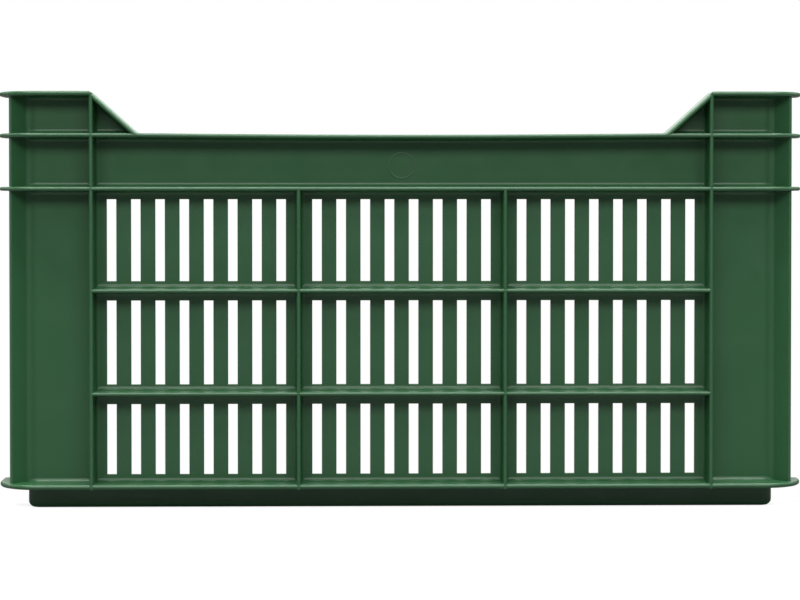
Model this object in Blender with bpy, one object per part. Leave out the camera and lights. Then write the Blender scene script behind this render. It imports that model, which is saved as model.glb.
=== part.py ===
"""Slotted stacking crate, 600 x 400 x 310 mm, with raised corners and lowered middle edges.

The crate is a single moulding. It is split here at its ribs into the features that a mould
maker would name: slotted panels, the rib frames on their outer faces, rim beams, corner posts,
the sloping wings beside the posts, foot rails and floor. Neighbours keep a gap of 0.3 mm.
Every side is drawn along X at the front, facing -Y, and is then turned into place.
"""

from math import atan, cos, radians, sin

import bmesh
import bpy
from mathutils import Matrix, Vector

MM = 0.001

# Overall size
LENGTH = 600 * MM
WIDTH = 400 * MM
HEIGHT = 310 * MM
GAP = 0.3 * MM
WELD = 0.001 * MM

# Walls and ribs
RIB_DEPTH = 18 * MM
WALL = 2.5 * MM
RIB = 2.8 * MM
CORNER_R = 12 * MM
DIAGONAL_SETBACK = 1.8 * MM
ROOTED = 1.2 * MM

# Levels, from the ground up
FLANGE_BOTTOM = 16.0 * MM
FLANGE_TOP = 19.7 * MM
FOOT_TOP = FLANGE_TOP
LOW_RIB = 86.5 * MM
MIDDLE_RIB = 162.7 * MM
BEAM_BOTTOM = 236.5 * MM
BEAM_RIB_TOP = 239.5 * MM
RIM_BOTTOM = 276.0 * MM
RIM_TOP = 279.1 * MM
TOP_FLANGE_BOTTOM = 306.7 * MM

# Corner posts and wings: the same on long and short sides
POST_SPAN = 71 * MM
WING_SPAN = 34.5 * MM
WING_KNEE = 0.9 * MM

# Slots
SLOT = 7.1 * MM
SLOT_PITCH = 18 * MM
SLOT_ROWS = (
    (25.3 * MM, 77.6 * MM),
    (92.3 * MM, 154.8 * MM),
    (169.3 * MM, 230.2 * MM),
)
BAYS = 3
LONG_BAY = 152.7 * MM
END_BAY = 86 * MM
LONG_SLOTS = 8
END_SLOTS = 4

# Hand holes in the two ends
GRIP_LENGTH = 112 * MM
GRIP_HEIGHT = 25 * MM

# Foot and floor
FOOT_INSET = 3.0 * MM
FOOT_LEDGE = 16.5 * MM
FOOT_EDGE_R = 4.5 * MM
FOOT_EDGE_STEPS = 3
FOOT_FLOOR = 3.0 * MM
FLOOR_BOTTOM = 3.3 * MM
FLOOR_TOP = 6.3 * MM
FLOOR_RIB_BOTTOM = 1.0 * MM
FLOOR_SLOT = 8 * MM
FLOOR_SLOT_LENGTH = 40 * MM
FLOOR_CELL_X = 20 * MM
FLOOR_CELL_Y = 52 * MM
FLOOR_COLUMNS = 26
FLOOR_ROWS = 6
FLOOR_CORNER_STEPS = 3

ARC_STEPS = 8
GRIP_STEPS = 6

# Worked out from the sizes above
HALF_LONG = LENGTH / 2 - RIB_DEPTH
HALF_SHORT = WIDTH / 2 - RIB_DEPTH
PANEL_LONG = LENGTH / 2 - POST_SPAN
PANEL_SHORT = WIDTH / 2 - POST_SPAN
POST_EDGE = RIB / 2

GREEN = (0.030, 0.092, 0.042, 1.0)
ROUGHNESS = 0.42


def clear_scene():
    for item in list(bpy.data.objects):
        bpy.data.objects.remove(item, do_unlink=True)


def new_collection(name):
    collection = bpy.data.collections.new(name)
    bpy.context.scene.collection.children.link(collection)
    return collection


def moulded_plastic():
    material = bpy.data.materials.new("crate_plastic")
    material.use_nodes = True
    shader = material.node_tree.nodes["Principled BSDF"]
    shader.inputs["Base Color"].default_value = GREEN
    shader.inputs["Roughness"].default_value = ROUGHNESS
    shader.inputs["Metallic"].default_value = 0.0
    material.diffuse_color = GREEN
    return material


def tidy_normals(mesh):
    work = bmesh.new()
    work.from_mesh(mesh)
    bmesh.ops.remove_doubles(work, verts=work.verts, dist=WELD)
    bmesh.ops.recalc_face_normals(work, faces=work.faces)
    work.to_mesh(mesh)
    work.free()


def box(low, high):
    """A cube primitive stretched between two corners, with its scale applied."""
    bpy.ops.mesh.primitive_cube_add(size=1.0)
    item = bpy.context.object
    low, high = Vector(low), Vector(high)
    size = high - low
    item.data.transform(Matrix.Translation((low + high) / 2) @ Matrix.Diagonal((*size, 1)))
    return item


def prism(outline, thickness, frame):
    """A flat outline, extruded to both sides of its plane and placed by a matrix."""
    curve = bpy.data.curves.new("outline", "CURVE")
    curve.dimensions = "2D"
    curve.fill_mode = "BOTH"
    curve.extrude = thickness / 2
    spline = curve.splines.new("POLY")
    spline.points.add(len(outline) - 1)
    for point, (x, y) in zip(spline.points, outline):
        point.co = (x, y, 0.0, 1.0)
    spline.use_cyclic_u = True
    source = bpy.data.objects.new("outline", curve)
    bpy.context.scene.collection.objects.link(source)
    graph = bpy.context.evaluated_depsgraph_get()
    mesh = bpy.data.meshes.new_from_object(source.evaluated_get(graph))
    bpy.data.objects.remove(source)
    mesh.transform(frame)
    tidy_normals(mesh)
    item = bpy.data.objects.new("plate", mesh)
    bpy.context.scene.collection.objects.link(item)
    return item


def combine(body, tools, operation):
    """Boolean the tools into the body, one after another, and drop them."""
    for tool in tools:
        step = body.modifiers.new("step", "BOOLEAN")
        step.operation = operation
        step.solver = "EXACT"
        step.object = tool
        graph = bpy.context.evaluated_depsgraph_get()
        mesh = bpy.data.meshes.new_from_object(body.evaluated_get(graph))
        body.modifiers.clear()
        body.data = mesh
        bpy.data.objects.remove(tool)
    tidy_normals(body.data)
    return body


def standing(depth_centre):
    """Frame of an upright plate: outline x runs along the side, outline y runs up."""
    return Matrix.Translation((0, depth_centre, 0)) @ Matrix.Rotation(radians(90), 4, "X")


def lying(level):
    """Frame of a flat plate at a level."""
    return Matrix.Translation((0, 0, level))


def slot_cutter(boxes):
    """One object that holds a separate cube for every slot, each given by two corners."""
    work = bmesh.new()
    for low, high in boxes:
        low, high = Vector(low), Vector(high)
        shape = Matrix.Translation((low + high) / 2) @ Matrix.Diagonal((*(high - low), 1))
        bmesh.ops.create_cube(work, size=1.0, matrix=shape)
    mesh = bpy.data.meshes.new("slots")
    work.to_mesh(mesh)
    work.free()
    item = bpy.data.objects.new("slots", mesh)
    bpy.context.scene.collection.objects.link(item)
    return item


def arc(cx, cy, radius, start, end, steps=ARC_STEPS):
    """Points on an arc, its angles in degrees."""
    points = []
    for i in range(steps + 1):
        angle = radians(start + (end - start) * i / steps)
        points.append((cx + radius * cos(angle), cy + radius * sin(angle)))
    return points


def wall_slots(half_width, bay_width, count):
    """Every slot of one side: three bays, three rows, cut right through the wall."""
    boxes = []
    for bay in range(BAYS):
        centre = (bay - (BAYS - 1) / 2) * bay_width
        for i in range(count):
            middle = centre + (i - (count - 1) / 2) * SLOT_PITCH
            for low, high in SLOT_ROWS:
                boxes.append((
                    (middle - SLOT / 2, -half_width - WALL, low),
                    (middle + SLOT / 2, -half_width + 2 * WALL, high),
                ))
    return slot_cutter(boxes)


def side_panel(half_width, half_panel, bay_width, count):
    """Slotted wall between two corner posts."""
    edge = half_panel - POST_EDGE - GAP
    low = (-edge, -half_width, FLANGE_TOP + GAP)
    high = (edge, -half_width + WALL, BEAM_BOTTOM - GAP)
    slots = wall_slots(half_width, bay_width, count)
    return combine(box(low, high), [slots], "DIFFERENCE")


def rib_frame(half_width, half_panel, bay_width):
    """Ribs on the outside of a panel, and the stretch of bottom flange that they stand on."""
    edge = half_panel - POST_EDGE - GAP
    root = -half_width - GAP
    outer = -(half_width + RIB_DEPTH)
    ledge = -(foot_reach(half_width) + GAP)
    low = FLANGE_BOTTOM + ROOTED
    top = BEAM_BOTTOM - GAP
    flange = box((-edge, outer, FLANGE_BOTTOM), (edge, ledge, FLANGE_TOP))
    ribs = []
    for middle in (-bay_width / 2, bay_width / 2):
        ribs.append(box((middle - RIB / 2, outer, low), (middle + RIB / 2, root, top)))
    for level in (LOW_RIB, MIDDLE_RIB):
        ribs.append(box((-edge, outer, level - RIB / 2), (edge, root, level + RIB / 2)))
    return combine(flange, ribs, "UNION")


def rim_beam(half_width, half_panel, has_grip):
    """Plain band above a panel, between the upper rib and the rim of the lowered edge."""
    edge = half_panel - POST_EDGE - GAP
    outer = -(half_width + RIB_DEPTH)
    root = -half_width + ROOTED
    wall = box((-edge, -half_width, BEAM_BOTTOM), (edge, -half_width + WALL, RIM_TOP))
    ribs = [
        box((-edge, outer, BEAM_BOTTOM), (edge, root, BEAM_RIB_TOP)),
        box((-edge, outer, RIM_BOTTOM), (edge, root, RIM_TOP)),
    ]
    beam = combine(wall, ribs, "UNION")
    if not has_grip:
        return beam
    hole = prism(grip_outline(), 4 * WALL, standing(-half_width))
    return combine(beam, [hole], "DIFFERENCE")


def grip_outline():
    """Hand hole with round ends, midway between the two ribs of the beam."""
    radius = GRIP_HEIGHT / 2
    middle = (BEAM_RIB_TOP + RIM_BOTTOM) / 2
    reach = GRIP_LENGTH / 2 - radius
    right = arc(reach, middle, radius, -90, 90, GRIP_STEPS)
    left = arc(-reach, middle, radius, 90, 270, GRIP_STEPS)
    return right + left


def corner_band(outer_reach, inner_reach):
    """Plan of a band round the corner, between two offsets from the corner's arc centre."""
    straight = POST_SPAN - RIB_DEPTH - CORNER_R + POST_EDGE
    outside = [(straight, -outer_reach)]
    outside += reversed(arc(0, 0, outer_reach, 180, 270))
    outside += [(-outer_reach, straight)]
    inside = [(-inner_reach, straight)]
    inside += arc(0, 0, inner_reach, 180, 270)
    inside += [(straight, -inner_reach)]
    return outside + inside


def corner_post():
    """Front-left post about the arc centre of its corner: wall, four flanges, three ribs."""
    wall_in = CORNER_R - WALL
    reach = CORNER_R + RIB_DEPTH
    straight = POST_SPAN - RIB_DEPTH - CORNER_R
    ledge = CORNER_R - FOOT_INSET + GAP
    rooted_low = FLANGE_BOTTOM + ROOTED
    rooted_high = HEIGHT - ROOTED
    middle = (HEIGHT + rooted_low) / 2
    post = prism(corner_band(CORNER_R, wall_in), HEIGHT - rooted_low, lying(middle))
    parts = []
    for inside, low, high in (
        (ledge, FLANGE_BOTTOM, FLANGE_TOP),
        (wall_in, BEAM_BOTTOM, BEAM_RIB_TOP),
        (wall_in, RIM_BOTTOM, RIM_TOP),
        (wall_in, TOP_FLANGE_BOTTOM, HEIGHT),
    ):
        parts.append(prism(corner_band(reach, inside), high - low, lying((low + high) / 2)))
    root = wall_in + WALL / 2
    near = straight - POST_EDGE
    far = straight + POST_EDGE
    parts.append(box((near, -reach, rooted_low), (far, -root, rooted_high)))
    parts.append(box((-reach, near, rooted_low), (-root, far, rooted_high)))
    tip = reach - DIAGONAL_SETBACK
    diagonal = box((-tip, -RIB / 2, rooted_low), (-root, RIB / 2, rooted_high))
    diagonal.data.transform(Matrix.Rotation(radians(45), 4, "Z"))
    parts.append(diagonal)
    return combine(post, parts, "UNION")


def lug_wing(half_width, half_panel, hand):
    """Sloping web and flange that lead from a post's top down to the rim, on one hand."""
    start = half_panel - POST_EDGE - GAP
    foot = RIM_TOP + GAP
    slope = (HEIGHT - RIM_TOP) / WING_SPAN
    thick = (HEIGHT - TOP_FLANGE_BOTTOM) / cos(atan(slope))
    top = HEIGHT - (half_panel + WING_KNEE - start) * slope
    end = start - (top - foot) / slope
    under = end + thick / slope
    inner = half_width - WALL
    outer = half_width + RIB_DEPTH
    web_outline = [(start, foot), (start, top), (end, foot)]
    flange_outline = [(start, top - thick), (start, top), (end, foot), (under, foot)]
    web = prism([(hand * s, z) for s, z in web_outline], WALL, standing(-half_width + WALL / 2))
    flange = prism(
        [(hand * s, z) for s, z in flange_outline],
        outer - inner,
        standing(-(outer + inner) / 2),
    )
    return combine(web, [flange], "UNION")


def foot_reach(half_width):
    return half_width - FOOT_INSET


def long_foot_rail():
    """Front rail of the foot: rounded plan corners, rounded lower edge, ledge turned inwards."""
    x = foot_reach(HALF_LONG)
    y = foot_reach(HALF_SHORT)
    radius = CORNER_R - FOOT_INSET
    back = -(y - FOOT_LEDGE)
    outline = [(x, back), (-x, back)]
    outline += arc(-(x - radius), -(y - radius), radius, 180, 270)
    outline += arc(x - radius, -(y - radius), radius, 270, 360)
    rail = prism(outline, FOOT_TOP, lying(FOOT_TOP / 2))
    round_lower_edge(rail.data, back)
    pocket_r = radius - WALL
    pocket_back = back + WALL
    pocket = [(x - WALL, pocket_back), (-(x - WALL), pocket_back)]
    pocket += arc(-(x - radius), -(y - radius), pocket_r, 180, 270)
    pocket += arc(x - radius, -(y - radius), pocket_r, 270, 360)
    cutter = prism(pocket, FOOT_TOP, lying(FOOT_FLOOR + FOOT_TOP / 2))
    return combine(rail, [cutter], "DIFFERENCE")


def short_foot_rail():
    """Rail of the foot along an end, between the two long rails, drawn as a front rail."""
    y = foot_reach(HALF_LONG)
    half = foot_reach(HALF_SHORT) - FOOT_LEDGE - GAP
    rail = box((-half, -y, 0), (half, -(y - FOOT_LEDGE), FOOT_TOP))
    round_lower_edge(rail.data, -(y - FOOT_LEDGE))
    cutter = box((-LENGTH, -(y - WALL), FOOT_FLOOR), (LENGTH, 0, LENGTH))
    return combine(rail, [cutter], "DIFFERENCE")


def round_lower_edge(mesh, back):
    """Round the lower edge of a rail's outer face, and leave its inner and cut edges sharp."""
    ends = max(vertex.co.x for vertex in mesh.vertices)
    full_corners = ends > HALF_SHORT
    work = bmesh.new()
    work.from_mesh(mesh)
    chosen = []
    for edge in work.edges:
        a, b = edge.verts
        at_ground = max(a.co.z, b.co.z) < GAP
        at_back = min(a.co.y, b.co.y) > back - GAP
        across = abs(a.co.x - b.co.x) < GAP
        if at_ground and not at_back and (full_corners or not across):
            chosen.append(edge)
    bmesh.ops.bevel(work, geom=chosen, offset=FOOT_EDGE_R, segments=FOOT_EDGE_STEPS,
                    profile=0.5, affect="EDGES", clamp_overlap=True)
    work.to_mesh(mesh)
    work.free()


def floor_panel():
    """Slotted floor on the foot's ledge, with low cross ribs beneath it."""
    x = foot_reach(HALF_LONG) - WALL - GAP
    y = foot_reach(HALF_SHORT) - WALL - GAP
    slots = []
    for i in range(FLOOR_COLUMNS):
        cx = (i - (FLOOR_COLUMNS - 1) / 2) * FLOOR_CELL_X
        for j in range(FLOOR_ROWS):
            cy = (j - (FLOOR_ROWS - 1) / 2) * FLOOR_CELL_Y
            slots.append((
                (cx - FLOOR_SLOT / 2, cy - FLOOR_SLOT_LENGTH / 2, 0),
                (cx + FLOOR_SLOT / 2, cy + FLOOR_SLOT_LENGTH / 2, 2 * FLOOR_TOP),
            ))
    corner = CORNER_R - FOOT_INSET - WALL
    steps = FLOOR_CORNER_STEPS
    outline = arc(-(x - corner), -(y - corner), corner, 180, 270, steps)
    outline += arc(x - corner, -(y - corner), corner, 270, 360, steps)
    outline += arc(x - corner, y - corner, corner, 0, 90, steps)
    outline += arc(-(x - corner), y - corner, corner, 90, 180, steps)
    plate = prism(outline, FLOOR_TOP - FLOOR_BOTTOM, lying((FLOOR_TOP + FLOOR_BOTTOM) / 2))
    rib_x = foot_reach(HALF_LONG) - FOOT_LEDGE - GAP
    ribs = []
    for j in range(FLOOR_ROWS - 1):
        cy = (j - (FLOOR_ROWS - 2) / 2) * FLOOR_CELL_Y
        ribs.append(box(
            (-rib_x, cy - RIB / 2, FLOOR_RIB_BOTTOM),
            (rib_x, cy + RIB / 2, FLOOR_BOTTOM + ROOTED),
        ))
    floor = combine(plate, ribs, "UNION")
    return combine(floor, [slot_cutter(slots)], "DIFFERENCE")


def place(collection, material, source, name, spot=(0, 0, 0), turn=0):
    """A named object of the crate, which may share its mesh with its twins."""
    item = bpy.data.objects.new(name, source.data)
    item.location = spot
    item.rotation_euler = (0, 0, radians(turn))
    collection.objects.link(item)
    if not source.data.materials:
        source.data.materials.append(material)


def build():
    clear_scene()
    crate = new_collection("stacking_crate")
    plastic = moulded_plastic()
    sources = []

    def add(source, copies):
        sources.append(source)
        for copy in copies:
            place(crate, plastic, source, *copy)

    long_panel = side_panel(HALF_SHORT, PANEL_LONG, LONG_BAY, LONG_SLOTS)
    add(long_panel, [("front_panel",), ("rear_panel", (0, 0, 0), 180)])
    end_panel = side_panel(HALF_LONG, PANEL_SHORT, END_BAY, END_SLOTS)
    add(end_panel, [("left_panel", (0, 0, 0), -90), ("right_panel", (0, 0, 0), 90)])

    long_frame = rib_frame(HALF_SHORT, PANEL_LONG, LONG_BAY)
    add(long_frame, [("front_rib_frame",), ("rear_rib_frame", (0, 0, 0), 180)])
    end_frame = rib_frame(HALF_LONG, PANEL_SHORT, END_BAY)
    add(end_frame, [("left_rib_frame", (0, 0, 0), -90), ("right_rib_frame", (0, 0, 0), 90)])

    long_beam = rim_beam(HALF_SHORT, PANEL_LONG, False)
    add(long_beam, [("front_rim_beam",), ("rear_rim_beam", (0, 0, 0), 180)])
    end_beam = rim_beam(HALF_LONG, PANEL_SHORT, True)
    add(end_beam, [("left_grip_beam", (0, 0, 0), -90), ("right_grip_beam", (0, 0, 0), 90)])

    x = HALF_LONG - CORNER_R
    y = HALF_SHORT - CORNER_R
    add(corner_post(), [
        ("corner_post_front_left", (-x, -y, 0), 0),
        ("corner_post_front_right", (x, -y, 0), 90),
        ("corner_post_rear_right", (x, y, 0), 180),
        ("corner_post_rear_left", (-x, y, 0), 270),
    ])

    for hand, near, far in ((-1, "left", "right"), (1, "right", "left")):
        add(lug_wing(HALF_SHORT, PANEL_LONG, hand), [
            ("lug_wing_front_" + near,),
            ("lug_wing_rear_" + far, (0, 0, 0), 180),
        ])
    for hand, near, far in ((-1, "rear", "front"), (1, "front", "rear")):
        add(lug_wing(HALF_LONG, PANEL_SHORT, hand), [
            ("lug_wing_left_" + near, (0, 0, 0), -90),
            ("lug_wing_right_" + far, (0, 0, 0), 90),
        ])

    add(long_foot_rail(), [("foot_rail_front",), ("foot_rail_rear", (0, 0, 0), 180)])
    add(short_foot_rail(), [
        ("foot_rail_left", (0, 0, 0), -90),
        ("foot_rail_right", (0, 0, 0), 90),
    ])
    add(floor_panel(), [("floor_panel",)])

    for source in sources:
        bpy.data.objects.remove(source)


build()
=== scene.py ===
"""Looks of the slotted stacking crate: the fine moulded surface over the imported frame.

Every wall piece is a closed sheet over a grid. One grid direction runs along the side and the
other runs up. The outer surface stands off the wall by the deepest rib at that point, so ribs,
draft, root fillets and rounded tips all come from one cross-section. Pieces meet on the centre
lines of ribs, where the surface is flat, so a seam does not show.
"""

from math import asin, atan2, cos, pi, radians, sin, sqrt, tan

import bmesh
import bpy
import numpy as np
from mathutils import Matrix, Vector


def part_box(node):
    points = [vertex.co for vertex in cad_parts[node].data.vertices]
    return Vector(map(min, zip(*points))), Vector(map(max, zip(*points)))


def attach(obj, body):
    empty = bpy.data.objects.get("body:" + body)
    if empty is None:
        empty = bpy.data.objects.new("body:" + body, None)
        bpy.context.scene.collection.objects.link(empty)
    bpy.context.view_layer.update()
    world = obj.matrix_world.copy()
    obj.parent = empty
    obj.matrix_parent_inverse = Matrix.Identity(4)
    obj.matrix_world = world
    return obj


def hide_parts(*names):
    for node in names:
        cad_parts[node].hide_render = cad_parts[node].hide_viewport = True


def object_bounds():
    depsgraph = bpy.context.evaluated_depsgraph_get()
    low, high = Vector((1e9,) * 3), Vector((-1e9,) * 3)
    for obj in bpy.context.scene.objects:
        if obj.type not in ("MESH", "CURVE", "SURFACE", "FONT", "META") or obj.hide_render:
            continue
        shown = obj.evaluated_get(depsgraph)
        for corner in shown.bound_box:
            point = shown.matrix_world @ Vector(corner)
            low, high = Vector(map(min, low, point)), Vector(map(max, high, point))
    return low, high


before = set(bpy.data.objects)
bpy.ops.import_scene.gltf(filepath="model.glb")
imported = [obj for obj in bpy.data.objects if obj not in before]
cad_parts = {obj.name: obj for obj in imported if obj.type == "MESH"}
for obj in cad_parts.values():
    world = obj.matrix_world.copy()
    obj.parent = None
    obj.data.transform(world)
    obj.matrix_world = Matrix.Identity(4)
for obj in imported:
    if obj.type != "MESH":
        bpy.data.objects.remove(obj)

MM = 0.001
BODY = "root"

# ---------------------------------------------------------------- sizes read from the frame

CAD_LOW, CAD_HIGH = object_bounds()
PANEL_LOW, PANEL_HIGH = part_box("front_panel")
BEAM_LOW, BEAM_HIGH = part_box("front_rim_beam")
FLOOR_LOW, FLOOR_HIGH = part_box("floor_panel")
FLANGE_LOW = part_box("front_rib_frame")[0].z
POST_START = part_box("corner_post_front_right")[0].x
END_FOOT_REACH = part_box("foot_rail_right")[1].y

HALF_SHORT = -PANEL_LOW.y
WALL = PANEL_HIGH.y - PANEL_LOW.y
DEPTH = CAD_HIGH.y - HALF_SHORT
HALF_LONG = CAD_HIGH.x - DEPTH
HEIGHT = CAD_HIGH.z
RIM_TOP = BEAM_HIGH.z

# ------------------------------------------------------------- sizes shared with the design

RIB = 2.8 * MM
CORNER_R = 12 * MM
FLANGE_HIGH = 19.7 * MM
LOW_RIB = 86.5 * MM
MIDDLE_RIB = 162.7 * MM
BEAM_RIB = 3.0 * MM
RIM = 3.1 * MM
TOP_FLANGE = 3.3 * MM
DIAGONAL_SETBACK = 1.8 * MM
WING_RUN = 34.5 * MM
WING_KNEE = 0.9 * MM
SLOT = 7.1 * MM
SLOT_PITCH = 18 * MM
SLOT_ROWS = ((25.3 * MM, 77.6 * MM), (92.3 * MM, 154.8 * MM), (169.3 * MM, 230.2 * MM))
LONG_BAY = 152.7 * MM
END_BAY = 86 * MM
GRIP_LENGTH = 112 * MM
GRIP_HEIGHT = 25 * MM
FLOOR_SLOT = 8 * MM
FLOOR_SLOT_LENGTH = 40 * MM
FLOOR_CELL_X = 20 * MM
FLOOR_CELL_Y = 52 * MM
FLOOR_COLUMNS = 26
FLOOR_ROWS = 6

BEAM_RIB_LEVEL = BEAM_LOW.z + BEAM_RIB / 2
RIM_LEVEL = RIM_TOP - RIM / 2
BAND_MIDDLE = (BEAM_LOW.z + BEAM_RIB + RIM_TOP - RIM) / 2
FLANGE_LEVEL = (FLANGE_LOW + FLANGE_HIGH) / 2
TOP_LEVEL = HEIGHT - TOP_FLANGE / 2
PANEL_LONG = POST_START + RIB / 2
PANEL_SHORT = PANEL_LONG - (HALF_LONG - HALF_SHORT)
ARC_X = HALF_LONG - CORNER_R
ARC_Y = HALF_SHORT - CORNER_R
STRAIGHT = ARC_X - PANEL_LONG

# ------------------------------------------------------------------------ moulded detail

TIP_ROUND = 0.95
ROOT_R = 3.0 * MM
DRAFT = 0.022
TIP_STEPS = 4
ROOT_STEPS = 4
POST_ARC_STEPS = 5
SLOT_EDGE_R = 0.4 * MM
SLOT_EDGE_STEPS = 2
RIM_EDGE_R = 0.8 * MM
WING_TOP_R = 4 * MM
WING_FOOT_R = 6 * MM
WING_ARC_STEPS = 8
SLOPE_STATIONS = 15
CROSSING_STEPS = 400
SAG = 1.2 * MM
SAG_STATIONS = 13
LONG_SLOTS = 8
END_SLOTS = 4
CORNER_STEPS = 8
HAND_HOLE_STEPS = 10
FOOT_INSET = 3.0 * MM
FOOT_EDGE_R = 4.5 * MM
FOOT_NECK_R = 0.8 * MM
FOOT_ROOT_R = 2.0 * MM
FOOT_FRONT = -2.4 * MM
FOOT_BACK = -19.5 * MM
FOOT_LEDGE_TOP = 3.0 * MM
FLOOR_SKIN = 3.3 * MM
FLOOR_ROOT_R = 0.6 * MM
COLLAR = 4 * MM
COLLAR_PROUD = 0.8 * MM
COLLAR_SIDES = 12
RING_R = 9.5 * MM
RING_HALF = 0.7 * MM
RING_FLAT = 0.6
RING_DROP = 2.5 * MM
RING_STEPS = 64
RING_SIDES = 8
HAIR = 0.02 * MM
MERGE = 0.002 * MM
TINY_EDGE = 0.001 * MM
FLAT = 0.0001 * MM
CREASE_ANGLE = 40

# ----------------------------------------------------------------------- plastic and studio

DARK_GREEN = (0.0195, 0.087, 0.030)
PALE_GREEN = (0.0225, 0.096, 0.035)
# Paler green painted on convex edges: a painted highlight along the rib tips, and edge wear.
SHEEN_AND_WEAR_GREEN = (0.056, 0.118, 0.075)
PLASTIC_IOR = 1.49
SMOOTHEST = 0.33
DULLEST = 0.42
NOISE_SPAN = (0.3, 0.7)
# Pointiness span over which convex edges turn to the painted highlight and wear colour.
SHEEN_AND_WEAR_SPAN = (0.51, 0.62)
CLOUD_SCALE = 14
PATCH_SCALE = 45
GRAIN_SCALE = 1400
DRAW_SCALE = 240
DRAW_STRETCH = (1, 1, 0.06)
BUMP = 0.10
GRAIN_DEPTH = 0.1 * MM
DRAW_DEPTH = 0.3 * MM

WHITE = (1, 1, 1, 1)
FILL = 0.165
FLOOR_WHITE = 0.9
FLOOR_GLOW = 0.75
FLOOR_BOUNCE = 0.17
FLOOR_REACH = 6.0
FLOOR_GAP = 0.2 * MM
FRONT_AIM = (0, -0.2, 0.2)
REAR_AIM = (0, 0.2, 0.2)
EYE = (-0.0356, -1.84, 0.242)
LENS = 100.15
SHIFT_Y = -0.0972
PITCH = 1.0
YAW = 1.19
NEAR_CLIP = 0.05
CUT_BEHIND = 26 * MM


def half_profile(half, depth, root_r=ROOT_R):
    """Cross-section of a rib as (distance from its centre line, height above the wall)."""
    tip_r = half * TIP_ROUND
    points = [(0.0, depth)]
    for k in range(TIP_STEPS + 1):
        angle = pi / 2 * (1 - k / TIP_STEPS)
        points.append((half - tip_r + tip_r * cos(angle), depth - tip_r + tip_r * sin(angle)))
    root = half + DRAFT * (depth - tip_r - root_r)
    for k in range(ROOT_STEPS + 1):
        angle = pi + pi / 2 * k / ROOT_STEPS
        points.append((root + root_r + root_r * cos(angle), root_r + root_r * sin(angle)))
    return np.array(points)


class Rib:
    """A straight rib across a grid, at one value of the grid's own coordinate."""

    def __init__(self, centre, thickness, depth=DEPTH, root_r=ROOT_R):
        self.centre = centre
        self.section = half_profile(thickness / 2, depth, root_r)

    def lines(self):
        reach = self.section[:, 0]
        return [*(self.centre - reach), *(self.centre + reach)]

    def height(self, values):
        away = np.abs(np.asarray(values) - self.centre)
        return np.interp(away, self.section[:, 0], self.section[:, 1], right=0.0)


def ribs_height(ribs, values):
    """Deepest of several parallel ribs at each value, and zero on the bare wall."""
    best = np.zeros(len(values))
    for rib in ribs:
        best = np.maximum(best, rib.height(values))
    return best


def grid_lines(values, low, high):
    """Sorted grid lines between two limits, with near doubles merged."""
    kept = [low]
    for value in sorted(values):
        if value > kept[-1] + HAIR and value < high - HAIR:
            kept.append(value)
    kept.append(high)
    return np.array(kept)


# ------------------------------------------------------------------------- slots in a grid


def edge_offsets():
    """Distances from a slot's edge at which its rounding needs a grid line."""
    steps = range(SLOT_EDGE_STEPS + 1)
    return [SLOT_EDGE_R * (1 - cos(pi / 2 * k / SLOT_EDGE_STEPS)) for k in steps]


def slot_lines(low, high):
    lines = []
    for offset in edge_offsets():
        lines += [low - offset, high + offset]
    return lines


def slot_centres(bay, count):
    """Centres of the slots along a side: three bays of equal slots."""
    centres = []
    for b in (-1, 0, 1):
        centres += [b * bay + (i - (count - 1) / 2) * SLOT_PITCH for i in range(count)]
    return centres


def slot_dip(us, vs, slots):
    """How far the surface sinks beside each slot's rounded edge."""
    dip = np.zeros((len(us), len(vs)))
    for u0, u1, v0, v1 in slots:
        iu = np.where((us > u0 - SLOT_EDGE_R) & (us < u1 + SLOT_EDGE_R))[0]
        iv = np.where((vs > v0 - SLOT_EDGE_R) & (vs < v1 + SLOT_EDGE_R))[0]
        du = np.maximum(np.maximum(u0 - us[iu], us[iu] - u1), 0)
        dv = np.maximum(np.maximum(v0 - vs[iv], vs[iv] - v1), 0)
        away = np.minimum(np.hypot(du[:, None], dv[None, :]), SLOT_EDGE_R)
        sink = SLOT_EDGE_R - np.sqrt(SLOT_EDGE_R**2 - (SLOT_EDGE_R - away) ** 2)
        block = np.ix_(iu, iv)
        dip[block] = np.maximum(dip[block], sink)
    return dip


def cells_without(us, vs, holes):
    """Which cells of a grid hold material, once the holes are left out."""
    present = np.ones((len(us) - 1, len(vs) - 1), bool)
    mid_u = (us[1:] + us[:-1]) / 2
    mid_v = (vs[1:] + vs[:-1]) / 2
    for u0, u1, v0, v1 in holes:
        inside_u = (mid_u > u0) & (mid_u < u1)
        inside_v = (mid_v > v0) & (mid_v < v1)
        present &= ~(inside_u[:, None] & inside_v[None, :])
    return present


# ------------------------------------------------------------------------- sheets and meshes


def diagonals(values, i, j):
    """Sums of a grid's values over the two diagonals of one cell."""
    return values[i, j] + values[i + 1, j + 1], values[i + 1, j] + values[i, j + 1]


def cell_faces(corners, i, j, crossing):
    """One cell of the outer surface: a quad where it is flat, and else two triangles.

    Where two ribs cross, the cell is split along the valley between them, which is the diagonal
    on which their heights differ least.
    """
    if crossing is None:
        return [corners]
    heights, difference = crossing
    first, second = diagonals(heights, i, j)
    if abs(first - second) < FLAT:
        return [corners]
    a, b, c, d = corners
    first, second = diagonals(difference, i, j)
    if first < second:
        return [(a, b, c), (a, c, d)]
    return [(a, b, d), (b, c, d)]


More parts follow.
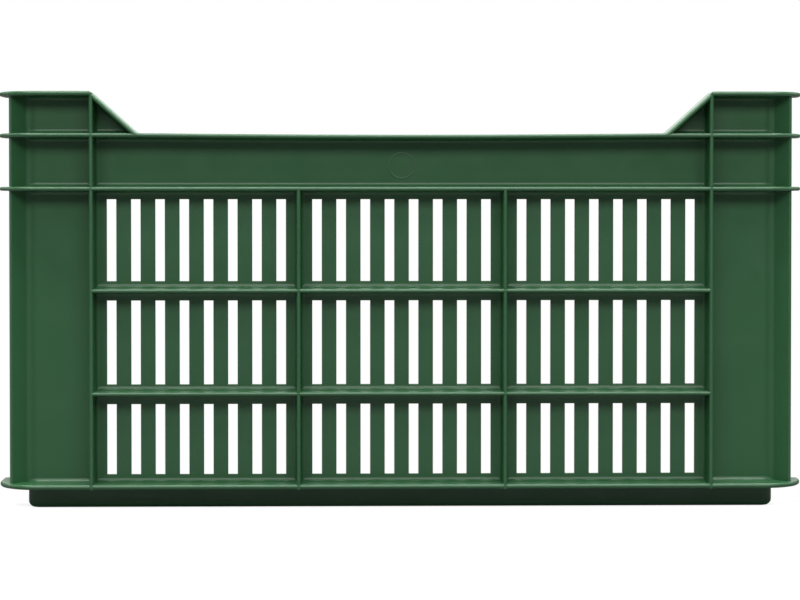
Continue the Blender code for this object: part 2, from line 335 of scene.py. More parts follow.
def sheet_faces(outer, present, crossing):
    """Faces of a closed sheet: outer grid, inner grid, and walls round every border."""
    nu, nv = outer.shape[:2]
    index = np.arange(nu * nv).reshape(nu, nv)
    shift = nu * nv
    faces = []
    for i, j in zip(*np.where(present)):
        a, b, c, d = index[i, j], index[i + 1, j], index[i + 1, j + 1], index[i, j + 1]
        faces += cell_faces((a, b, c, d), i, j, crossing)
        faces.append((d + shift, c + shift, b + shift, a + shift))
    full = np.zeros((nu + 1, nv + 1), bool)
    full[1:-1, 1:-1] = present
    borders = []
    for i, j in zip(*np.where(full[1:, 1:-1] != full[:-1, 1:-1])):
        ends = (index[i, j], index[i, j + 1])
        borders.append(ends if full[i, j + 1] else ends[::-1])
    for i, j in zip(*np.where(full[1:-1, 1:] != full[1:-1, :-1])):
        ends = (index[i, j], index[i + 1, j])
        borders.append(ends[::-1] if full[i + 1, j] else ends)
    faces += [(a, b, b + shift, a + shift) for a, b in borders]
    return faces


def finish_piece(name, mesh, nodes):
    """Cleans a mesh, shades it, parents it to the crate's body, and hides the CAD nodes it takes
    the place of.
    """
    work = bmesh.new()
    work.from_mesh(mesh)
    loose = [v for v in work.verts if not v.link_faces]
    bmesh.ops.delete(work, geom=loose, context="VERTS")
    bmesh.ops.remove_doubles(work, verts=work.verts, dist=MERGE)
    bmesh.ops.dissolve_degenerate(work, edges=work.edges, dist=TINY_EDGE)
    bmesh.ops.recalc_face_normals(work, faces=work.faces)
    work.to_mesh(mesh)
    work.free()
    mesh.shade_smooth()
    mesh.set_sharp_from_angle(angle=radians(CREASE_ANGLE))
    piece = bpy.data.objects.new(name, mesh)
    bpy.context.scene.collection.objects.link(piece)
    weighted = piece.modifiers.new("even_shading", "WEIGHTED_NORMAL")
    weighted.keep_sharp = True
    mesh.materials.append(PLASTIC)
    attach(piece, BODY)
    if nodes:
        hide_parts(*nodes)
    return piece


def new_mesh(name, points, faces):
    mesh = bpy.data.meshes.new(name)
    mesh.from_pydata(points, [], faces)
    return mesh


def sheet_mesh(name, outer, inner, present, crossing=None):
    """Closed sheet between two grids; crossing is (height, difference) where its ribs cross."""
    points = np.concatenate([outer.reshape(-1, 3), inner.reshape(-1, 3)])
    return new_mesh(name, points.tolist(), sheet_faces(outer, present, crossing))


def tube_sides(sections, sides, closed):
    """Faces between sections of so many points each, which may close into a ring."""
    faces = []
    for i in range(sections if closed else sections - 1):
        ahead = (i + 1) % sections
        for j in range(sides):
            k = (j + 1) % sides
            here, there = i * sides, ahead * sides
            faces.append((here + j, here + k, there + k, there + j))
    return faces


def turned(mesh, degrees, spot=(0, 0, 0)):
    """A copy of a mesh, turned about the upright axis and moved."""
    copy = mesh.copy()
    copy.transform(Matrix.Translation(spot) @ Matrix.Rotation(radians(degrees), 4, "Z"))
    return copy


# ---------------------------------------------------------------------------- side pieces


def stand(half_width, us, vs, depth):
    """Grid of points on a straight side, that far out from the wall's face."""
    points = np.zeros((len(us), len(vs), 3))
    points[:, :, 0] = us[:, None]
    points[:, :, 1] = -(half_width + depth)
    points[:, :, 2] = vs[None, :]
    return points


def edge_fall(levels, top):
    """How far an inner face falls back at its rounded upper edge."""
    away = np.clip((top - levels) / RIM_EDGE_R, 0, 1)
    return RIM_EDGE_R * (1 - np.sqrt(1 - (1 - away) ** 2))


def edge_lines(top):
    """Levels at which that rounded edge needs a grid line."""
    steps = range(TIP_STEPS + 1)
    return [top - RIM_EDGE_R * (1 - cos(pi / 2 * k / TIP_STEPS)) for k in steps]


def panel_mesh(half_width, half_panel, bay, count):
    """Slotted wall with its ribs and bottom flange, up to the middle of the rib above it."""
    upright = [Rib(place, RIB) for place in (-half_panel, half_panel, -bay / 2, bay / 2)]
    level = [
        Rib(FLANGE_LEVEL, FLANGE_HIGH - FLANGE_LOW),
        Rib(LOW_RIB, RIB),
        Rib(MIDDLE_RIB, RIB),
        Rib(BEAM_RIB_LEVEL, BEAM_RIB),
    ]
    slots = []
    u_lines = [line for rib in upright for line in rib.lines()]
    v_lines = [line for rib in level for line in rib.lines()]
    for centre in slot_centres(bay, count):
        u_lines += slot_lines(centre - SLOT / 2, centre + SLOT / 2)
        for low, high in SLOT_ROWS:
            slots.append((centre - SLOT / 2, centre + SLOT / 2, low, high))
    for low, high in SLOT_ROWS:
        v_lines += slot_lines(low, high)
    us = grid_lines(u_lines, -half_panel, half_panel)
    vs = grid_lines(v_lines, FLANGE_LOW, BEAM_RIB_LEVEL)
    across = ribs_height(upright, us)[:, None] + np.zeros(len(vs))
    along = ribs_height(level, vs)[None, :] + np.zeros((len(us), 1))
    dip = slot_dip(us, vs, slots)
    height = np.maximum(across, along)
    outer = stand(half_width, us, vs, height - dip)
    inner = stand(half_width, us, vs, dip - WALL)
    present = cells_without(us, vs, slots)
    return sheet_mesh("panel", outer, inner, present, (height, np.abs(across - along)))


def beam_mesh(half_width, half_panel, wing_end, sag):
    """Plain band between the beam's rib and the rim; the rim's cap ends where the wings start.

    The rim hangs a little lower in the middle, as a long moulded edge does.
    """
    upright = [Rib(place, RIB) for place in (-half_panel, half_panel)]
    level = [Rib(BEAM_RIB_LEVEL, BEAM_RIB), Rib(RIM_LEVEL, RIM)]
    u_lines = [line for rib in upright for line in rib.lines()]
    u_lines += list(np.linspace(-wing_end, wing_end, SAG_STATIONS))
    v_lines = [line for rib in level for line in rib.lines()]
    v_lines += edge_lines(RIM_TOP)
    us = grid_lines(u_lines, -half_panel, half_panel)
    vs = grid_lines(v_lines, BEAM_RIB_LEVEL, RIM_TOP)
    across = ribs_height(upright, us)[:, None] + np.zeros(len(vs))
    along = ribs_height(level, vs)[None, :] + np.zeros((len(us), 1))
    height = np.maximum(across, along)
    outer = stand(half_width, us, vs, height)
    inner = stand(half_width, us, vs, (edge_fall(vs, RIM_TOP) - WALL)[None, :])
    bow = sag * np.clip(1 - (us / wing_end) ** 2, 0, 1)
    lift = (vs - BEAM_RIB_LEVEL) / (RIM_TOP - BEAM_RIB_LEVEL)
    for face in (outer, inner):
        face[:, :, 2] -= bow[:, None] * lift[None, :] ** 2
    beyond = [
        (-half_panel, -wing_end, RIM_LEVEL, RIM_TOP),
        (wing_end, half_panel, RIM_LEVEL, RIM_TOP),
    ]
    present = cells_without(us, vs, beyond)
    return sheet_mesh("beam", outer, inner, present, (height, np.abs(across - along)))


class WingCurve:
    """Top edge of a wing: level, round, slope, round, level. s falls towards the middle."""

    def __init__(self, half_panel):
        rise = HEIGHT - RIM_TOP
        self.tilt = atan2(rise, WING_RUN)
        top_cut = WING_TOP_R * tan(self.tilt / 2)
        foot_cut = WING_FOOT_R * tan(self.tilt / 2)
        self.knee = half_panel + WING_KNEE
        self.start = self.knee + top_cut
        self.heel = self.knee - WING_RUN
        self.slope_start = self.knee - top_cut * cos(self.tilt)
        self.slope_end = self.heel + foot_cut * cos(self.tilt)
        self.end = self.heel - foot_cut

    def height(self, s):
        if s >= self.start:
            return HEIGHT
        if s >= self.slope_start:
            return HEIGHT - WING_TOP_R + sqrt(WING_TOP_R**2 - (self.start - s) ** 2)
        if s >= self.slope_end:
            return HEIGHT - (self.knee - s) * tan(self.tilt)
        return RIM_TOP + WING_FOOT_R - sqrt(max(WING_FOOT_R**2 - (s - self.end) ** 2, 0))

    def stretch(self, s):
        """Upright thickness of the sloping flange over its true thickness."""
        step = 0.1 * MM
        grade = (self.height(s + step) - self.height(s - step)) / (2 * step)
        return sqrt(1 + grade**2)

    def lines(self):
        lines = []
        for k in range(WING_ARC_STEPS + 1):
            turn = self.tilt * k / WING_ARC_STEPS
            lines.append(self.start - WING_TOP_R * sin(turn))
            lines.append(self.end + WING_FOOT_R * sin(turn))
        lines += list(np.linspace(self.slope_end, self.slope_start, SLOPE_STATIONS))
        return lines


def wing_column(curve, s, lower, upper):
    """Levels and heights up one column: rim rib, web, then the sloping flange.

    Near the wing's foot the flange runs into the rim's rib, and both end where they cross.
    """
    top = curve.height(s)
    stretch = curve.stretch(s)
    low_z = RIM_LEVEL + lower[:, 0]
    high_z = top - (TOP_FLANGE / 2 + upper[::-1, 0]) * stretch
    low_h = lower[:, 1]
    high_h = upper[::-1, 1]
    cap = top - (TOP_FLANGE / 2 - upper[:, 0]) * stretch
    cap_h = upper[:, 1]
    keep = upper[:, 0] <= TOP_FLANGE / 2 + HAIR
    flange_z = np.concatenate([high_z, cap[keep][1:]])
    flange_h = np.concatenate([high_h, cap_h[keep][1:]])
    if flange_z[0] < low_z[-1]:
        z = np.linspace(RIM_LEVEL, top, CROSSING_STEPS)
        gap = np.interp(z, low_z, low_h, right=0) - np.interp(z, flange_z, flange_h, left=0)
        crossing = z[np.argmax(gap <= 0)] if (gap <= 0).any() else top
        meet = max(np.interp(crossing, low_z, low_h, right=0),
                   np.interp(crossing, flange_z, flange_h, left=0))
        low_h = np.where(low_z > crossing, meet, low_h)
        low_z = np.minimum(low_z, crossing)
        flange_h = np.where(flange_z < crossing, meet, flange_h)
        flange_z = np.maximum(flange_z, crossing)
    return np.concatenate([low_z, flange_z]), np.concatenate([low_h, flange_h])


def wing_mesh(half_width, half_panel, curve):
    """Right-hand wing of a side, seen from outside: web, sloping flange, half of the rim's rib."""
    post_rib = Rib(half_panel, RIB)
    lower = half_profile(RIM / 2, DEPTH)
    upper = half_profile(TOP_FLANGE / 2, DEPTH)
    us = grid_lines(curve.lines() + post_rib.lines(), curve.end, half_panel)
    rows = len(wing_column(curve, half_panel, lower, upper)[0])
    outer = np.zeros((len(us), rows, 3))
    inner = np.zeros((len(us), rows, 3))
    height = np.zeros((len(us), rows))
    sides = np.zeros((len(us), rows))
    for i, s in enumerate(us):
        z, h = wing_column(curve, s, lower, upper)
        side = float(post_rib.height([s])[0])
        height[i] = np.maximum(h, side)
        sides[i] = np.abs(h - side)
        fall = edge_fall(z, z[-1])
        outer[i] = np.stack([np.full(rows, s), -(half_width + height[i]), z], axis=1)
        inner[i] = np.stack([np.full(rows, s), -(half_width - WALL + fall), z], axis=1)
    present = np.ones((len(us) - 1, rows - 1), bool)
    return sheet_mesh("wing", outer, inner, present, (height, sides))


# ---------------------------------------------------------------------------- corner posts


def post_columns():
    """Columns round a corner as functions of height: position on the plan, and rib height."""
    side_rib = Rib(STRAIGHT, RIB)
    diagonal = half_profile(RIB / 2, DEPTH - DIAGONAL_SETBACK)
    flank = len(diagonal) - ROOT_STEPS
    columns = []
    for s in grid_lines(side_rib.lines() + [STRAIGHT / 2], 0.0, STRAIGHT)[::-1]:
        columns.append(("straight", s, float(side_rib.height([s])[0])))
    root_angle = asin(diagonal[-1, 0] / CORNER_R)
    for k in range(1, POST_ARC_STEPS):
        angle = pi / 4 + (root_angle - pi / 4) * k / POST_ARC_STEPS
        columns.append(("fixed", angle, 0.0))
    for t, h in diagonal[flank:][::-1]:
        columns.append(("fixed", asin(t / CORNER_R), h))
    for t, h in diagonal[:flank][::-1]:
        columns.append(("offset", t, h))
    return columns


def post_point(kind, value, hand, height):
    """Plan position at a height above the wall, about the arc centre of the front-left corner."""
    reach = CORNER_R + height
    if kind == "straight":
        point = (value, -reach)
    else:
        angle = value if kind == "fixed" else asin(min(value / reach, 1.0))
        turn = radians(225) + angle
        point = (reach * cos(turn), reach * sin(turn))
    return point if hand > 0 else (point[1], point[0])


def post_mesh():
    """Corner post about its arc centre: half of the columns, then the same in the mirror."""
    level = [
        Rib(FLANGE_LEVEL, FLANGE_HIGH - FLANGE_LOW),
        Rib(BEAM_RIB_LEVEL, BEAM_RIB),
        Rib(RIM_LEVEL, RIM),
        Rib(TOP_LEVEL, TOP_FLANGE),
    ]
    v_lines = [line for rib in level for line in rib.lines()] + edge_lines(HEIGHT)
    vs = grid_lines(v_lines, FLANGE_LOW, HEIGHT)
    along = ribs_height(level, vs)
    inside = edge_fall(vs, HEIGHT) - WALL
    half = post_columns()
    columns = [(*column, 1) for column in half] + [(*column, -1) for column in half[::-1][1:]]
    outer = np.zeros((len(columns), len(vs), 3))
    inner = np.zeros((len(columns), len(vs), 3))
    height = np.zeros((len(columns), len(vs)))
    sides = np.zeros((len(columns), len(vs)))
    curve = WingCurve(PANEL_LONG)
    share = np.clip((vs - RIM_TOP) / (HEIGHT - TOP_FLANGE - RIM_TOP), 0, 1)
    for i, (kind, value, rib, hand) in enumerate(columns):
        height[i] = np.maximum(along, rib)
        sides[i] = np.abs(along - rib)
        drop = HEIGHT - curve.height(ARC_X - value) if kind == "straight" else 0.0
        levels = vs - drop * share
        for j, z in enumerate(levels):
            outer[i, j] = (*post_point(kind, value, hand, height[i, j]), z)
            inner[i, j] = (*post_point(kind, value, hand, inside[j]), z)
    present = np.ones((len(columns) - 1, len(vs) - 1), bool)
    return sheet_mesh("post", outer, inner, present, (height, sides))


# ------------------------------------------------------------------------------- the foot


def foot_outline():
    """Cross-section of the foot as (depth from the wall's face, level), inwards negative."""
    skirt = -FOOT_INSET
    inside = skirt - WALL
    under = FLANGE_LOW
    points = [(FOOT_BACK, 0.0)]
    points += round_corner(skirt - FOOT_EDGE_R, FOOT_EDGE_R, FOOT_EDGE_R, -90, 0)
    points += round_corner(skirt + FOOT_NECK_R, under - FOOT_NECK_R, FOOT_NECK_R, 180, 90)
    points += [(FOOT_FRONT, under + HAIR), (FOOT_FRONT, FLANGE_HIGH - RIM_EDGE_R)]
    points += round_corner(FOOT_FRONT - RIM_EDGE_R, FLANGE_HIGH - RIM_EDGE_R, RIM_EDGE_R, 0, 90)
    points += round_corner(inside + RIM_EDGE_R, FLANGE_HIGH - RIM_EDGE_R, RIM_EDGE_R, 90, 180)
    points += round_corner(inside - FOOT_ROOT_R, FLOOR_HIGH.z + FOOT_ROOT_R, FOOT_ROOT_R, 360, 270)
    points += [(inside - FOOT_ROOT_R, FOOT_LEDGE_TOP), (FOOT_BACK, FOOT_LEDGE_TOP)]
    return points


def round_corner(centre_d, centre_z, radius, start, end, steps=4):
    angles = [radians(start + (end - start) * k / steps) for k in range(steps + 1)]
    return [(centre_d + radius * cos(a), centre_z + radius * sin(a)) for a in angles]


def swept(name, stations, outline):
    """A closed bar: the outline carried along stations of (place on plan, outward direction)."""
    points = []
    for (x, y), (nx, ny) in stations:
        for depth, level in outline:
            px, py = x + nx * depth, y + ny * depth
            if depth < -CORNER_R:  # further in than a corner's centre, the bar turns sharply
                px = max(-HALF_LONG - depth, min(HALF_LONG + depth, px))
                py = max(-HALF_SHORT - depth, min(HALF_SHORT + depth, py))
            points.append((px, py, level))
    sides = len(outline)
    last = (len(stations) - 1) * sides
    faces = tube_sides(len(stations), sides, False)
    faces.append(tuple(range(sides)))
    faces.append(tuple(range(last, last + sides))[::-1])
    return new_mesh(name, points, faces)


def long_foot_mesh():
    """Foot along the front and round both of its corners."""
    cut = -(HALF_SHORT + FOOT_BACK)
    stations = [((-HALF_LONG, cut), (-1, 0))]
    for hand, start in ((-1, 180), (1, 270)):
        for k in range(CORNER_STEPS + 1):
            angle = radians(start + 90 * k / CORNER_STEPS)
            out = (cos(angle), sin(angle))
            spot = (hand * ARC_X + CORNER_R * out[0], -ARC_Y + CORNER_R * out[1])
            stations.append((spot, out))
    stations.append(((HALF_LONG, cut), (1, 0)))
    return swept("long_foot", stations, foot_outline())


def short_foot_mesh():
    """Foot along the right-hand end, between the two long rails."""
    ends = (-END_FOOT_REACH, END_FOOT_REACH)
    stations = [((HALF_LONG, end), (1, 0)) for end in ends]
    return swept("short_foot", stations, foot_outline())


# ------------------------------------------------------------------------------ the floor


def floor_mesh():
    """Slotted floor: its ribs hang from the underside, its slots have eased upper edges."""
    half_x = HALF_LONG - FOOT_INSET - WALL - FOOT_ROOT_R
    half_y = HALF_SHORT - FOOT_INSET - WALL - FOOT_ROOT_R
    columns = [(i - (FLOOR_COLUMNS - 1) / 2) * FLOOR_CELL_X for i in range(FLOOR_COLUMNS)]
    rows = [(j - (FLOOR_ROWS - 1) / 2) * FLOOR_CELL_Y for j in range(FLOOR_ROWS)]
    rib_reach = HALF_LONG + FOOT_BACK
    u_lines = [-rib_reach, rib_reach]
    v_lines = []
    slots = []
    for x in columns:
        u_lines += slot_lines(x - FLOOR_SLOT / 2, x + FLOOR_SLOT / 2)
    for y in rows:
        front, rear = y - FLOOR_SLOT_LENGTH / 2, y + FLOOR_SLOT_LENGTH / 2
        v_lines += slot_lines(front, rear)
        slots += [(x - FLOOR_SLOT / 2, x + FLOOR_SLOT / 2, front, rear) for x in columns]
    drop = FLOOR_SKIN - FLOOR_LOW.z
    ribs = [Rib((a + b) / 2, RIB, drop, FLOOR_ROOT_R) for a, b in zip(rows, rows[1:])]
    v_lines += [line for rib in ribs for line in rib.lines()]
    us = grid_lines(u_lines, -half_x, half_x)
    vs = grid_lines(v_lines, -half_y, half_y)
    ribbed = np.where(np.abs(us) < rib_reach - HAIR, 1.0, 0.0)
    hang = ribbed[:, None] * ribs_height(ribs, vs)[None, :]
    dip = slot_dip(us, vs, slots)
    top = plan_points(us, vs, FLOOR_HIGH.z - dip)
    bottom = plan_points(us, vs, FLOOR_SKIN - hang)
    return sheet_mesh("floor", top, bottom, cells_without(us, vs, slots))


def plan_points(us, vs, level):
    points = np.zeros((len(us), len(vs), 3))
    points[:, :, 0] = us[:, None]
    points[:, :, 1] = vs[None, :]
    points[:, :, 2] = level
    return points


# ------------------------------------------------------------------------- the hand holes


def grip_outline():
    """Outline of a hand hole with its collar, in the wall: half circles at both ends."""
    radius = (GRIP_HEIGHT + COLLAR) / 2
    reach = (GRIP_LENGTH + COLLAR) / 2 - radius
    right = round_corner(reach, BAND_MIDDLE, radius, -90, 90, HAND_HOLE_STEPS)
    left = round_corner(-reach, BAND_MIDDLE, radius, 90, 270, HAND_HOLE_STEPS)
    return right + left


def face_outwards(mesh):
    """Merge a closed mesh's doubled points and turn all its faces outwards."""
    work = bmesh.new()
    work.from_mesh(mesh)
    bmesh.ops.remove_doubles(work, verts=work.verts, dist=MERGE)
    bmesh.ops.recalc_face_normals(work, faces=work.faces)
    work.to_mesh(mesh)
    work.free()


def cut_hand_hole(mesh, half_width):
    """Cut a hole through a plain beam, wide enough to take the collar."""
    outline = grip_outline()
    sides = len(outline)
    depths = (half_width + DEPTH, half_width - 2 * DEPTH)
    points = [(u, -depth, v) for depth in depths for u, v in outline]
    faces = [tuple(range(sides)), tuple(range(sides, 2 * sides))[::-1]]
    faces += tube_sides(2, sides, False)
    cutter_mesh = new_mesh("hand_hole", points, faces)
    face_outwards(cutter_mesh)
    face_outwards(mesh)
    cutter = bpy.data.objects.new("hand_hole", cutter_mesh)
    body = bpy.data.objects.new("grip_beam", mesh)
    for thing in (cutter, body):
        bpy.context.scene.collection.objects.link(thing)
    cut = body.modifiers.new("hand_hole", "BOOLEAN")
    cut.operation = "DIFFERENCE"
    cut.solver = "EXACT"
    cut.object = cutter
    bpy.context.view_layer.update()
    evaluated = body.evaluated_get(bpy.context.evaluated_depsgraph_get())
    result = bpy.data.meshes.new_from_object(evaluated)
    bpy.data.objects.remove(body)
    bpy.data.objects.remove(cutter)
    return result


def collar_mesh(half_width):
    """Rounded collar that lines a hand hole and stands a little proud on both faces."""
    path = grip_outline()
    half = WALL / 2 + COLLAR_PROUD
    centre = -(half_width - WALL / 2)
    points = []
    for i, (u, v) in enumerate(path):
        ahead, behind = path[(i + 1) % len(path)], path[i - 1]
        run, rise = ahead[0] - behind[0], ahead[1] - behind[1]
        size = sqrt(run**2 + rise**2)
        for k in range(COLLAR_SIDES):
            angle = 2 * pi * k / COLLAR_SIDES
            out = COLLAR / 2 * cos(angle)
            spot = (u + rise / size * out, centre - half * sin(angle), v - run / size * out)
            points.append(spot)
    return new_mesh("collar", points, tube_sides(len(path), COLLAR_SIDES, True))


# --------------------------------------------------------------------------- the plastic


def moulded_plastic():
    """Dark green moulded plastic: cloudy colour, convex edges painted paler as a highlight and as
    edge wear, draw marks and fine grain.
    """
    material = bpy.data.materials.new("crate_plastic")
    material.use_nodes = True
    nodes = material.node_tree.nodes
    links = material.node_tree.links
    place = nodes.new("ShaderNodeTexCoord").outputs["Object"]

    def noise(scale, detail, source=place):
        node = nodes.new("ShaderNodeTexNoise")
        node.inputs["Scale"].default_value = scale
        node.inputs["Detail"].default_value = detail
        links.new(source, node.inputs["Vector"])
        return node.outputs["Fac"]

    def spread(value, span, low, high):
        node = nodes.new("ShaderNodeMapRange")
        node.inputs["From Min"].default_value = span[0]
        node.inputs["From Max"].default_value = span[1]
        node.inputs["To Min"].default_value = low
        node.inputs["To Max"].default_value = high
        links.new(value, node.inputs["Value"])
        return node.outputs["Result"]

    def blended(share, colour):
        """A mix node whose first colour is still open."""
        node = nodes.new("ShaderNodeMix")
        node.data_type = "RGBA"
        node.inputs["B"].default_value = (*colour, 1)
        links.new(share, node.inputs["Factor"])
        return node

    def relief(height, depth):
        node = nodes.new("ShaderNodeBump")
        node.inputs["Strength"].default_value = BUMP
        node.inputs["Distance"].default_value = depth
        links.new(height, node.inputs["Height"])
        return node

    stretched = nodes.new("ShaderNodeMapping")
    stretched.inputs["Scale"].default_value = DRAW_STRETCH
    links.new(place, stretched.inputs["Vector"])
    clouds = noise(CLOUD_SCALE, 3)
    patches = noise(PATCH_SCALE, 4)
    grain = noise(GRAIN_SCALE, 2)
    draw_marks = noise(DRAW_SCALE, 2, stretched.outputs["Vector"])
    pointiness = nodes.new("ShaderNodeNewGeometry").outputs["Pointiness"]

    tint = blended(spread(clouds, NOISE_SPAN, 0, 1), PALE_GREEN)
    tint.inputs["A"].default_value = (*DARK_GREEN, 1)
    # Convex edges painted paler: a painted highlight on rib tips and edges, and edge wear.
    edge_sheen_and_wear = blended(spread(pointiness, SHEEN_AND_WEAR_SPAN, 0, 1), SHEEN_AND_WEAR_GREEN)
    links.new(tint.outputs["Result"], edge_sheen_and_wear.inputs["A"])
    fine = relief(grain, GRAIN_DEPTH)
    long_marks = relief(draw_marks, DRAW_DEPTH)
    links.new(fine.outputs["Normal"], long_marks.inputs["Normal"])

    shader = nodes["Principled BSDF"]
    shader.inputs["IOR"].default_value = PLASTIC_IOR
    shader.inputs["Metallic"].default_value = 0.0
    links.new(edge_sheen_and_wear.outputs["Result"], shader.inputs["Base Color"])
    links.new(spread(patches, NOISE_SPAN, SMOOTHEST, DULLEST), shader.inputs["Roughness"])
    links.new(long_marks.outputs["Normal"], shader.inputs["Normal"])
    return material


PLASTIC = moulded_plastic()

# ------------------------------------------------------------------------- build the crate


def blank_ring_mesh(half_width):
    """Plain raised ring, low and round-backed, in the middle of the band: it carries no mark."""
    centre_z = BAND_MIDDLE - RING_DROP
    points = []
    for i in range(RING_STEPS):
        turn = 2 * pi * i / RING_STEPS
        for k in range(RING_SIDES):
            angle = 2 * pi * k / RING_SIDES
            radius = RING_R + RING_HALF * cos(angle)
            stand_off = half_width + RING_HALF * RING_FLAT * sin(angle)
            points.append((radius * cos(turn), -stand_off, centre_z + radius * sin(turn)))
    return new_mesh("blank_ring", points, tube_sides(RING_STEPS, RING_SIDES, True))


def side_pieces(names, half_width, half_panel, bay, count, turns, has_grip):
    """Panel and beam of a pair of opposite sides, each with a hand-hole collar or blank ring."""
    panel = panel_mesh(half_width, half_panel, bay, count)
    curve = WingCurve(half_panel)
    beam = beam_mesh(half_width, half_panel, curve.end, SAG * (half_panel / PANEL_LONG) ** 2)
    if has_grip:
        beam = cut_hand_hole(beam, half_width)
        beam_node = "grip_beam"
        detail_name, detail = "hand_hole_collar", collar_mesh(half_width)
    else:
        beam_node = "rim_beam"
        detail_name, detail = "blank_ring", blank_ring_mesh(half_width)
    for name, turn in zip(names, turns):
        wall_nodes = [f"{name}_panel", f"{name}_rib_frame"]
        finish_piece(f"{name}_slotted_wall", turned(panel, turn), wall_nodes)
        finish_piece(f"{name}_rim_band", turned(beam, turn), [f"{name}_{beam_node}"])
        finish_piece(f"{name}_{detail_name}", turned(detail, turn), [])


def wing_pieces(names, half_width, half_panel, turns):
    """Wings of a pair of opposite sides: each right-hand one, and its mirror."""
    right = wing_mesh(half_width, half_panel, WingCurve(half_panel))
    left = right.copy()
    left.transform(Matrix.Scale(-1, 4, (1, 0, 0)))
    for (left_name, right_name), turn in zip(names, turns):
        finish_piece(f"wing_{left_name}", turned(left, turn), [f"lug_wing_{left_name}"])
        finish_piece(f"wing_{right_name}", turned(right, turn), [f"lug_wing_{right_name}"])


def build_crate():
    side_pieces(("front", "rear"), HALF_SHORT, PANEL_LONG, LONG_BAY, LONG_SLOTS, (0, 180), False)
    side_pieces(("left", "right"), HALF_LONG, PANEL_SHORT, END_BAY, END_SLOTS, (-90, 90), True)
    long_wings = (("front_left", "front_right"), ("rear_right", "rear_left"))
    wing_pieces(long_wings, HALF_SHORT, PANEL_LONG, (0, 180))
    end_wings = (("left_rear", "left_front"), ("right_front", "right_rear"))
    wing_pieces(end_wings, HALF_LONG, PANEL_SHORT, (-90, 90))
    post = post_mesh()
    corners = (
        ("front_left", 0, (-ARC_X, -ARC_Y)),
        ("front_right", 90, (ARC_X, -ARC_Y)),
        ("rear_right", 180, (ARC_X, ARC_Y)),
        ("rear_left", 270, (-ARC_X, ARC_Y)),
    )
    for name, turn, (x, y) in corners:
        finish_piece(f"post_{name}", turned(post, turn, (x, y, 0)), [f"corner_post_{name}"])
    long_foot = long_foot_mesh()
    short_foot = short_foot_mesh()
    feet = (
        ("front", long_foot, 0),
        ("rear", long_foot, 180),
        ("right", short_foot, 0),
        ("left", short_foot, 180),
    )
    for name, mesh, turn in feet:
        finish_piece(f"foot_{name}", turned(mesh, turn), [f"foot_rail_{name}"])
    finish_piece("slotted_floor", floor_mesh(), ["floor_panel"])


# ------------------------------------------------------------------------------ the studio


def aimed(thing, spot, target):
    thing.location = spot
    direction = Vector(target) - Vector(spot)
    thing.rotation_euler = direction.to_track_quat("-Z", "Y").to_euler()


def area_light(name, spot, target, size, watts):
    data = bpy.data.lights.new(name, "AREA")
    data.shape = "RECTANGLE"
    data.size, data.size_y = size
    data.energy = watts
    light = bpy.data.objects.new(name, data)
    aimed(light, spot, target)
    bpy.context.scene.collection.objects.link(light)


def studio_lights():
    area_light("key", (0.0, -2.14, 1.47), FRONT_AIM, size=(3.2, 0.7), watts=41)
    area_light("upper", (0.0, -1.35, 2.05), FRONT_AIM, size=(3.0, 0.5), watts=11)
    area_light("top", (0.0, -0.28, 2.0), FRONT_AIM, size=(2.6, 0.9), watts=98)
    area_light("rear", (0.0, 2.3, 1.3), REAR_AIM, size=(3.4, 1.2), watts=32)
    for name, hand in (("left", -1), ("right", 1)):
        spot, target = (2.4 * hand, 0.35, 1.2), (0.3 * hand, 0.05, 0.2)
        area_light(name, spot, target, size=(1.6, 0.9), watts=12)


def camera_switch(tree, shown, reflected):
    """One shader for the camera and another for every other ray."""
    path = tree.nodes.new("ShaderNodeLightPath")
    mix = tree.nodes.new("ShaderNodeMixShader")
    tree.links.new(path.outputs["Is Camera Ray"], mix.inputs["Fac"])
    tree.links.new(reflected, mix.inputs[1])
    tree.links.new(shown, mix.inputs[2])
    return mix.outputs["Shader"]


def pale_world():
    """Plain white surroundings that light the crate more softly than they look."""
    world = bpy.data.worlds.new("studio")
    bpy.context.scene.world = world
    world.use_nodes = True
    tree = world.node_tree
    shown = tree.nodes["Background"]
    fill = tree.nodes.new("ShaderNodeBackground")
    for background, strength in ((shown, 1.0), (fill, FILL)):
        background.inputs["Color"].default_value = WHITE
        background.inputs["Strength"].default_value = strength
    switched = camera_switch(tree, shown.outputs["Background"], fill.outputs["Background"])
    tree.links.new(switched, tree.nodes["World Output"].inputs["Surface"])


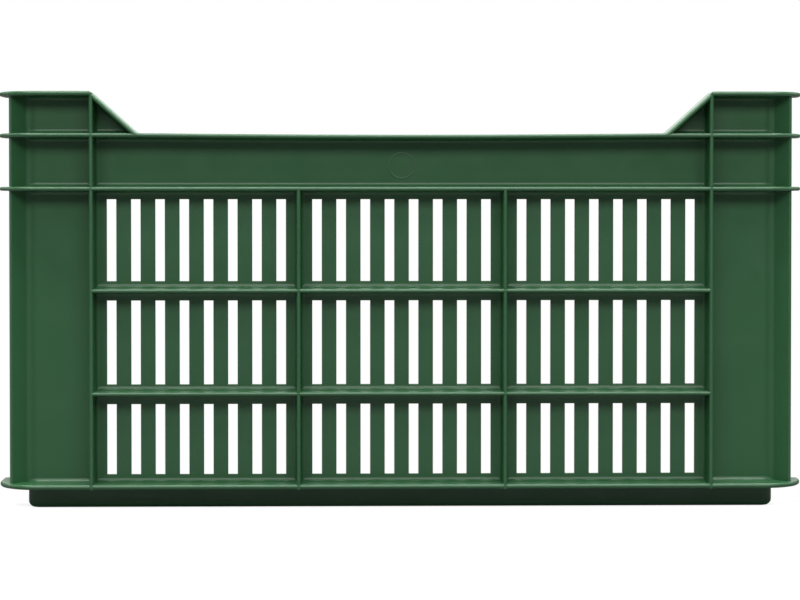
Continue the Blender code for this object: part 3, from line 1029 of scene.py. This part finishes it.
def pale_floor_material():
    """White to look at, and grey as a reflector, so that it does not fill the ribs' shadows."""
    material = bpy.data.materials.new("pale_floor")
    material.use_nodes = True
    tree = material.node_tree
    tree.nodes.remove(tree.nodes["Principled BSDF"])
    shown = tree.nodes.new("ShaderNodeBsdfDiffuse")
    shown.inputs["Color"].default_value = (FLOOR_WHITE, FLOOR_WHITE, FLOOR_WHITE, 1)
    glow = tree.nodes.new("ShaderNodeEmission")
    glow.inputs["Strength"].default_value = FLOOR_GLOW
    both = tree.nodes.new("ShaderNodeAddShader")
    tree.links.new(shown.outputs["BSDF"], both.inputs[0])
    tree.links.new(glow.outputs["Emission"], both.inputs[1])
    reflector = tree.nodes.new("ShaderNodeBsdfDiffuse")
    reflector.inputs["Color"].default_value = (FLOOR_BOUNCE, FLOOR_BOUNCE, FLOOR_BOUNCE, 1)
    switched = camera_switch(tree, both.outputs["Shader"], reflector.outputs["BSDF"])
    tree.links.new(switched, tree.nodes["Material Output"].inputs["Surface"])
    return material


def studio_floor():
    near, far = -FLOOR_REACH, FLOOR_REACH
    corners = [(near, near, 0), (far, near, 0), (far, far, 0), (near, far, 0)]
    mesh = new_mesh("studio_floor", corners, [(0, 1, 2, 3)])
    mesh.materials.append(pale_floor_material())
    floor = bpy.data.objects.new("studio_floor", mesh)
    floor.location.z = -FLOOR_GAP
    bpy.context.scene.collection.objects.link(floor)


def studio_camera():
    """Camera almost square to the front.

    It sees no further than just behind the front wall, so that the slots show the white
    surroundings and not the crate's far side.
    """
    data = bpy.data.cameras.new("camera")
    data.lens = LENS
    data.shift_y = SHIFT_Y
    data.clip_start = NEAR_CLIP
    data.clip_end = (-HALF_SHORT + CUT_BEHIND - EYE[1]) * cos(radians(YAW))
    camera = bpy.data.objects.new("camera", data)
    camera.location = EYE
    camera.rotation_mode = "XYZ"
    camera.rotation_euler = (pi / 2 - radians(PITCH), 0, -radians(YAW))
    bpy.context.scene.collection.objects.link(camera)
    bpy.context.scene.camera = camera


build_crate()
pale_world()
studio_floor()
studio_lights()
studio_camera()
bpy.context.scene.view_settings.view_transform = "Standard"
